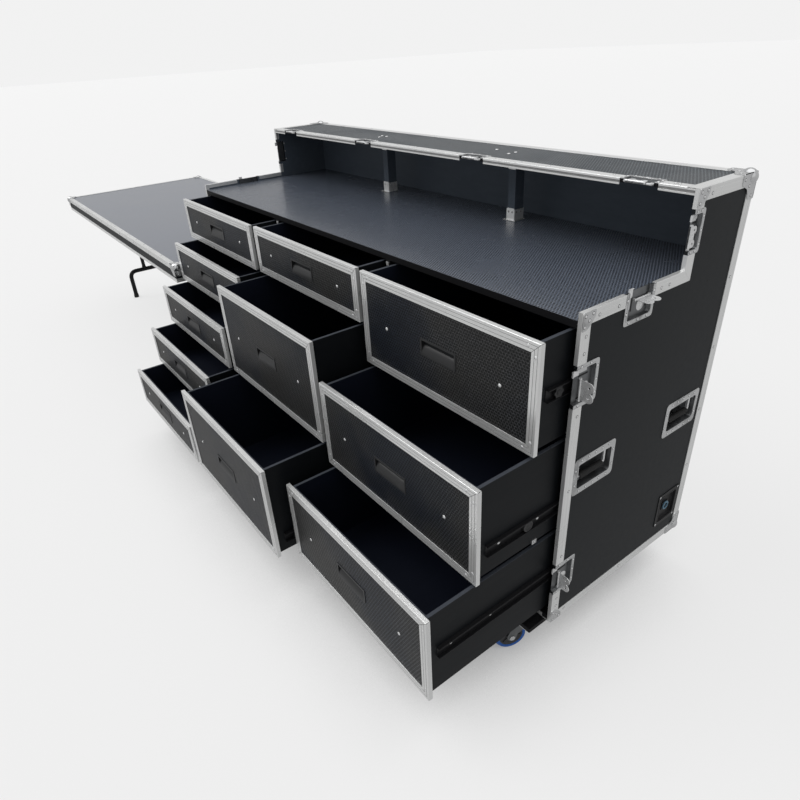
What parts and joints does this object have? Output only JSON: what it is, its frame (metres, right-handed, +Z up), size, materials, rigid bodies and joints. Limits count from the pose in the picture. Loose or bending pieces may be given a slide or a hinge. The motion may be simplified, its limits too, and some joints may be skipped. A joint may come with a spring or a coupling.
{
  "type": "road case with drawers",
  "caption": "Wheeled flight case with telescopic drawers under a worktop and a stepped hutch, its front cover standing beside it as a folding-leg table",
  "frame": {"origin": "middle of the bounding box on the floor", "axes": "+X runs along the case from the table at its left end to its right end, +Y from the drawers' fronts to the back, +Z up"},
  "size_m": [4.1322, 1.2128, 1.2403],
  "materials": {
    "hex_laminate": "hexagon-textured black laminate on plywood",
    "charcoal_laminate": "smooth dark grey laminate on plywood",
    "black_board": "black stained plywood",
    "worktop_laminate": "fine dotted laminate",
    "table_laminate": "smooth semi-gloss black laminate",
    "aluminium": "brushed extrusion",
    "plated_steel": "zinc plated",
    "black_steel": "black powder coat",
    "rubber_grip": "black rubber grip on a plated rod",
    "blue_plastic": "blue-green moulded socket",
    "blue_tyre": "blue elastic tyre on a grey hub"
  },
  "bodies": {
    "case": {"end_panel_left": "charcoal_laminate", "end_panel_right": "charcoal_laminate", "back_panel": "charcoal_laminate", "bottom_panel": "black_board", "worktop": "worktop_laminate", "top_panel": "hex_laminate", "divider_left": "black_board", "divider_right": "black_board", "end_frame_left": "aluminium", "end_frame_right": "aluminium", "rear_bottom_profile": "aluminium", "rear_top_profile": "aluminium", "front_strip": "aluminium", "hutch_lip_profile": "aluminium", "hutch_post_left": "black_board", "hutch_post_right": "black_board", "inlet_dish": "black_steel", "power_inlet": "blue_plastic", "castor_board": "black_board", "table_rim": "charcoal_laminate", "table_top_frame": "aluminium", "table_top": "table_laminate"},
    "drawer_l1": {"drawer_l1": "hex_laminate"},
    "drawer_l2": {"drawer_l2": "hex_laminate"},
    "drawer_l3": {"drawer_l3": "hex_laminate"},
    "drawer_l4": {"drawer_l4": "hex_laminate"},
    "drawer_l5": {"drawer_l5": "hex_laminate"},
    "drawer_m1": {"drawer_m1": "hex_laminate"},
    "drawer_m2": {"drawer_m2": "hex_laminate"},
    "drawer_m3": {"drawer_m3": "hex_laminate"},
    "drawer_r1": {"drawer_r1": "hex_laminate"},
    "drawer_r2": {"drawer_r2": "hex_laminate"},
    "drawer_r3": {"drawer_r3": "hex_laminate"},
    "latch_wing_left_lower": {"latch_wing_left_lower": "plated_steel"},
    "latch_wing_left_upper": {"latch_wing_left_upper": "plated_steel"},
    "latch_wing_left_step": {"latch_wing_left_step": "plated_steel"},
    "latch_wing_left_riser": {"latch_wing_left_riser": "plated_steel"},
    "latch_wing_right_lower": {"latch_wing_right_lower": "plated_steel"},
    "latch_wing_right_upper": {"latch_wing_right_upper": "plated_steel"},
    "latch_wing_right_step": {"latch_wing_right_step": "plated_steel"},
    "latch_wing_right_riser": {"latch_wing_right_riser": "plated_steel"},
    "latch_wing_hutch_1": {"latch_wing_hutch_1": "plated_steel"},
    "latch_wing_hutch_2": {"latch_wing_hutch_2": "plated_steel"},
    "latch_wing_hutch_3": {"latch_wing_hutch_3": "plated_steel"},
    "latch_wing_hutch_4": {"latch_wing_hutch_4": "plated_steel"},
    "handle_left_front": {"handle_left_front": "rubber_grip"},
    "handle_left_rear": {"handle_left_rear": "rubber_grip"},
    "handle_right_front": {"handle_right_front": "rubber_grip"},
    "handle_right_rear": {"handle_right_rear": "rubber_grip"},
    "castor_fork_front_right": {"castor_fork_front_right": "plated_steel"},
    "castor_wheel_front_right": {"castor_wheel_front_right": "blue_tyre"},
    "castor_fork_front_left": {"castor_fork_front_left": "plated_steel"},
    "castor_wheel_front_left": {"castor_wheel_front_left": "blue_tyre"},
    "castor_fork_rear_right": {"castor_fork_rear_right": "plated_steel"},
    "castor_wheel_rear_right": {"castor_wheel_rear_right": "blue_tyre"},
    "castor_fork_rear_left": {"castor_fork_rear_left": "plated_steel"},
    "castor_wheel_rear_left": {"castor_wheel_rear_left": "blue_tyre"},
    "table_leg_left": {"table_leg_left": "black_steel"},
    "table_leg_right": {"table_leg_right": "black_steel"}
  },
  "joints": [
    {"name": "drawer_l1_slide", "type": "slide", "parent": "case", "child": "drawer_l1", "axis": [0, -1, 0], "range_m": [-0.111, 0.389]},
    {"name": "drawer_l2_slide", "type": "slide", "parent": "case", "child": "drawer_l2", "axis": [0, -1, 0], "range_m": [-0.189, 0.311]},
    {"name": "drawer_l3_slide", "type": "slide", "parent": "case", "child": "drawer_l3", "axis": [0, -1, 0], "range_m": [-0.284, 0.216]},
    {"name": "drawer_l4_slide", "type": "slide", "parent": "case", "child": "drawer_l4", "axis": [0, -1, 0], "range_m": [-0.379, 0.121]},
    {"name": "drawer_l5_slide", "type": "slide", "parent": "case", "child": "drawer_l5", "axis": [0, -1, 0], "range_m": [-0.484, 0.016]},
    {"name": "drawer_m1_slide", "type": "slide", "parent": "case", "child": "drawer_m1", "axis": [0, -1, 0], "range_m": [-0.106, 0.394]},
    {"name": "drawer_m2_slide", "type": "slide", "parent": "case", "child": "drawer_m2", "axis": [0, -1, 0], "range_m": [-0.2755, 0.2245]},
    {"name": "drawer_m3_slide", "type": "slide", "parent": "case", "child": "drawer_m3", "axis": [0, -1, 0], "range_m": [-0.483, 0.017]},
    {"name": "drawer_r1_slide", "type": "slide", "parent": "case", "child": "drawer_r1", "axis": [0, -1, 0], "range_m": [-0.1085, 0.3915]},
    {"name": "drawer_r2_slide", "type": "slide", "parent": "case", "child": "drawer_r2", "axis": [0, -1, 0], "range_m": [-0.2755, 0.2245]},
    {"name": "drawer_r3_slide", "type": "slide", "parent": "case", "child": "drawer_r3", "axis": [0, -1, 0], "range_m": [-0.4245, 0.0755]},
    {"name": "latch_wing_left_lower_hinge", "type": "hinge", "parent": "case", "child": "latch_wing_left_lower", "pos_m": [0.03915, -0.1004, 0.281], "axis": [0, 0, 1], "range_deg": [0, 90]},
    {"name": "latch_wing_left_upper_hinge", "type": "hinge", "parent": "case", "child": "latch_wing_left_upper", "pos_m": [0.03915, -0.1004, 0.862], "axis": [0, 0, 1], "range_deg": [0, 90]},
    {"name": "latch_wing_left_step_hinge", "type": "hinge", "parent": "case", "child": "latch_wing_left_step", "pos_m": [0.03915, 0.0876, 1.025], "axis": [0, 1, 0], "range_deg": [0, 90]},
    {"name": "latch_wing_left_riser_hinge", "type": "hinge", "parent": "case", "child": "latch_wing_left_riser", "pos_m": [0.03915, 0.2436, 1.123], "axis": [0, 0, 1], "range_deg": [0, 90]},
    {"name": "latch_wing_right_lower_hinge", "type": "hinge", "parent": "case", "child": "latch_wing_right_lower", "pos_m": [2.03015, -0.1004, 0.281], "axis": [0, 0, -1], "range_deg": [-90, 0]},
    {"name": "latch_wing_right_upper_hinge", "type": "hinge", "parent": "case", "child": "latch_wing_right_upper", "pos_m": [2.03015, -0.1004, 0.862], "axis": [0, 0, -1], "range_deg": [-90, 0]},
    {"name": "latch_wing_right_step_hinge", "type": "hinge", "parent": "case", "child": "latch_wing_right_step", "pos_m": [2.03015, 0.0876, 1.025], "axis": [0, -1, 0], "range_deg": [-90, 0]},
    {"name": "latch_wing_right_riser_hinge", "type": "hinge", "parent": "case", "child": "latch_wing_right_riser", "pos_m": [2.03015, 0.2436, 1.123], "axis": [0, 0, -1], "range_deg": [0, 90]},
    {"name": "latch_wing_hutch_1_hinge", "type": "hinge", "parent": "case", "child": "latch_wing_hutch_1", "pos_m": [0.17465, 0.2436, 1.2265], "axis": [1, 0, 0], "range_deg": [0, 90]},
    {"name": "latch_wing_hutch_2_hinge", "type": "hinge", "parent": "case", "child": "latch_wing_hutch_2", "pos_m": [0.72465, 0.2436, 1.2265], "axis": [1, 0, 0], "range_deg": [0, 90]},
    {"name": "latch_wing_hutch_3_hinge", "type": "hinge", "parent": "case", "child": "latch_wing_hutch_3", "pos_m": [1.30065, 0.2436, 1.2265], "axis": [1, 0, 0], "range_deg": [0, 90]},
    {"name": "latch_wing_hutch_4_hinge", "type": "hinge", "parent": "case", "child": "latch_wing_hutch_4", "pos_m": [1.87065, 0.2436, 1.2265], "axis": [1, 0, 0], "range_deg": [0, 90]},
    {"name": "handle_left_front_hinge", "type": "hinge", "parent": "case", "child": "handle_left_front", "pos_m": [0.04515, -0.0144, 0.6408], "axis": [0, 1, 0], "range_deg": [0, 90], "stiffness_Nm_per_rad": 0.3},
    {"name": "handle_left_rear_hinge", "type": "hinge", "parent": "case", "child": "handle_left_rear", "pos_m": [0.04515, 0.3636, 0.6408], "axis": [0, 1, 0], "range_deg": [0, 90], "stiffness_Nm_per_rad": 0.3},
    {"name": "handle_right_front_hinge", "type": "hinge", "parent": "case", "child": "handle_right_front", "pos_m": [2.02415, -0.0144, 0.6408], "axis": [0, -1, 0], "range_deg": [0, 90], "stiffness_Nm_per_rad": 0.3},
    {"name": "handle_right_rear_hinge", "type": "hinge", "parent": "case", "child": "handle_right_rear", "pos_m": [2.02415, 0.3636, 0.6408], "axis": [0, -1, 0], "range_deg": [0, 90], "stiffness_Nm_per_rad": 0.3},
    {"name": "castor_fork_front_right_swivel", "type": "hinge", "parent": "case", "child": "castor_fork_front_right", "pos_m": [1.95365, -0.1464, 0.091], "axis": [0, 0, 1], "continuous": true},
    {"name": "castor_wheel_front_right_axle", "type": "hinge", "parent": "castor_fork_front_right", "child": "castor_wheel_front_right", "pos_m": [1.94003, -0.18188, 0.05], "axis": [0.9336, -0.3584, 0], "continuous": true},
    {"name": "castor_fork_front_left_swivel", "type": "hinge", "parent": "case", "child": "castor_fork_front_left", "pos_m": [0.11565, -0.1464, 0.091], "axis": [0, 0, 1], "continuous": true},
    {"name": "castor_wheel_front_left_axle", "type": "hinge", "parent": "castor_fork_front_left", "child": "castor_wheel_front_left", "pos_m": [0.09899, -0.18055, 0.05], "axis": [0.8988, -0.4384, 0], "continuous": true},
    {"name": "castor_fork_rear_right_swivel", "type": "hinge", "parent": "case", "child": "castor_fork_rear_right", "pos_m": [1.95365, 0.3766, 0.091], "axis": [0, 0, 1], "continuous": true},
    {"name": "castor_wheel_rear_right_axle", "type": "hinge", "parent": "castor_fork_rear_right", "child": "castor_wheel_rear_right", "pos_m": [1.94318, 0.34007, 0.05], "axis": [0.9613, -0.2756, 0], "continuous": true},
    {"name": "castor_fork_rear_left_swivel", "type": "hinge", "parent": "case", "child": "castor_fork_rear_left", "pos_m": [0.11565, 0.3766, 0.091], "axis": [0, 0, 1], "continuous": true},
    {"name": "castor_wheel_rear_left_axle", "type": "hinge", "parent": "castor_fork_rear_left", "child": "castor_wheel_rear_left", "pos_m": [0.10019, 0.34188, 0.05], "axis": [0.9135, -0.4067, 0], "continuous": true},
    {"name": "table_leg_left_hinge", "type": "hinge", "parent": "case", "child": "table_leg_left", "pos_m": [-1.92235, 0.1326, 0.6992], "axis": [0, -1, 0], "range_deg": [0, 88]},
    {"name": "table_leg_right_hinge", "type": "hinge", "parent": "case", "child": "table_leg_right", "pos_m": [-0.11235, 0.1326, 0.6992], "axis": [0, 1, 0], "range_deg": [0, 88]}
  ]
}
